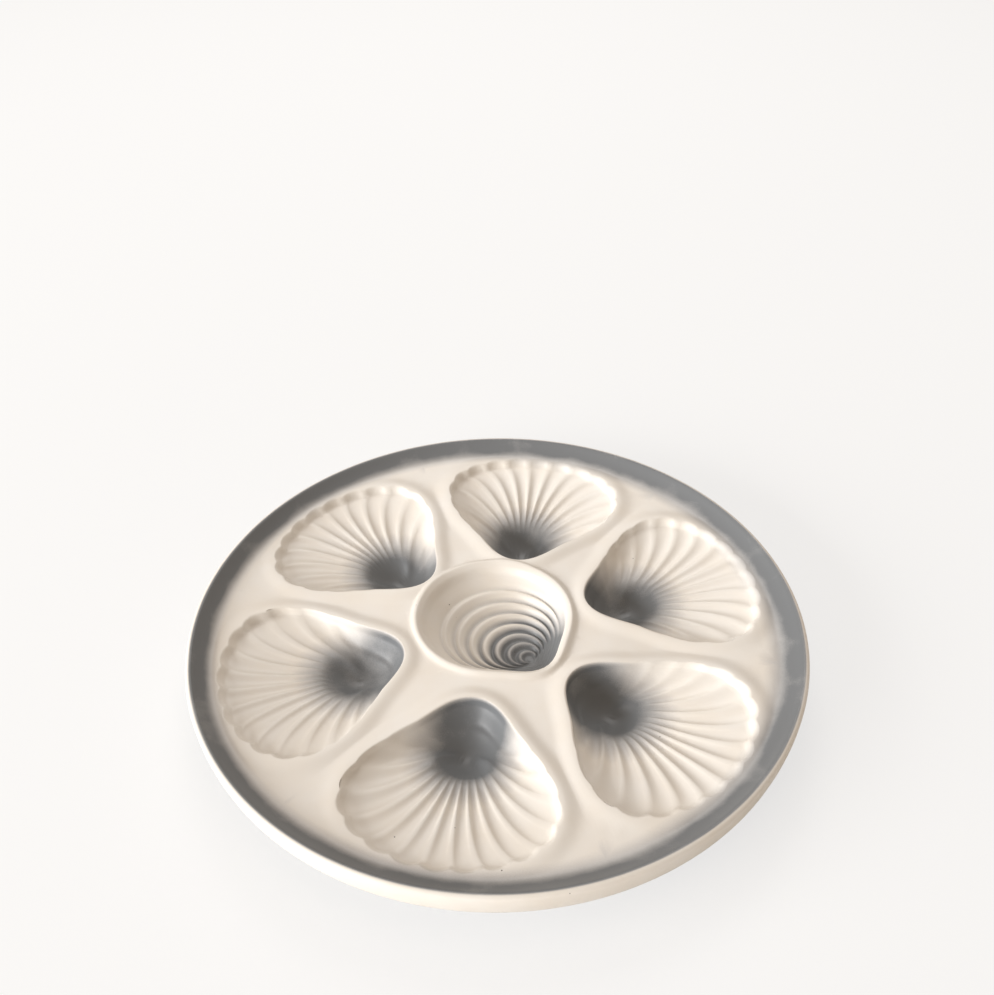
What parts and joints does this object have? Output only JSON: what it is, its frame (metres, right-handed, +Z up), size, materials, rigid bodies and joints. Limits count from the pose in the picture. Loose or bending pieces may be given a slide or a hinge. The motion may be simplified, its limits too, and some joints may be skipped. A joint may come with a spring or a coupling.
{
  "type": "oyster plate",
  "caption": "Round ceramic oyster plate with fluted scallop-shell wells round a ridged oyster-shaped centre well, inside a raised rim, standing on pads ground level under the wells.",
  "frame": {"origin": "centre of the plate on the plane that it stands on", "axes": "+Z up out of the wells, -Y through the shell well nearest the viewer, +X to the right"},
  "size_m": [0.245, 0.245, 0.0232],
  "materials": {
    "biscuit_earthenware": "matte, ground",
    "tin_glaze": "gloss, warm white with grey sprayed in the wells and round the rim"
  },
  "bodies": {
    "root": {"biscuit_body": "biscuit_earthenware", "glaze_coat": "tin_glaze"}
  },
  "joints": []
}
